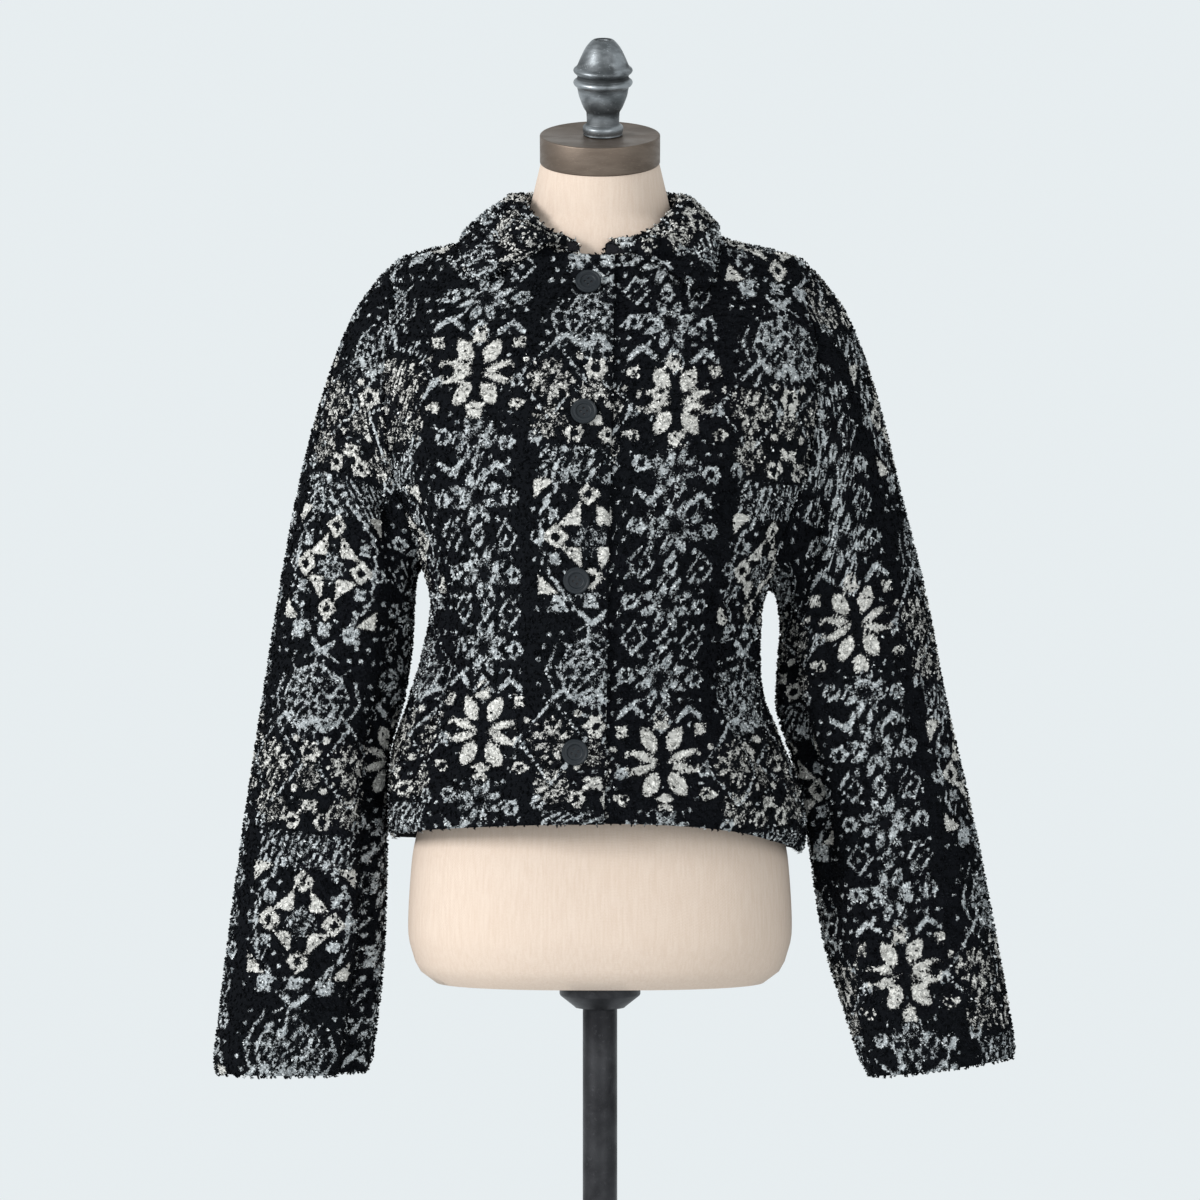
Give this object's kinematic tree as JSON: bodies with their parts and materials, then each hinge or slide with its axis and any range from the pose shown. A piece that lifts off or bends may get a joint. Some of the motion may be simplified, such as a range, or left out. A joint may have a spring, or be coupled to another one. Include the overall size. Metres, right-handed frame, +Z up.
{
  "type": "cardigan on dress form",
  "caption": "Short boxy button-front cardigan of curly printed fleece with a turned-down collar, on a limbless dress form with a turned finial, a pole and a round foot",
  "frame": {"origin": "middle of the flat underside of the stand's round foot, on the floor", "axes": "+Z up; the coat's front faces -Y; +X is the wearer's left, the right side of the picture"},
  "size_m": [0.674, 0.43, 1.5866],
  "materials": {
    "fleece": "curly pile fleece, black ground with a pale grey-blue and cream snowflake print",
    "linen": "cream woven linen stretched smooth over the form",
    "bronze": "dark bronze-brown, satin",
    "zinc": "dull grey cast and turned metal",
    "iron": "black satin paint",
    "button_plastic": "charcoal, satin, four holes and a raised rim"
  },
  "bodies": {
    "root": {"front_right": "fleece", "front_left": "fleece", "back": "fleece", "sleeve_right": "fleece", "sleeve_left": "fleece", "collar": "fleece", "button_1": "button_plastic", "button_2": "button_plastic", "button_3": "button_plastic", "button_4": "button_plastic", "form_torso": "linen", "form_neck_cap": "bronze", "form_finial": "zinc", "stand_socket": "iron", "stand_pole": "iron", "stand_foot": "iron"}
  },
  "joints": []
}
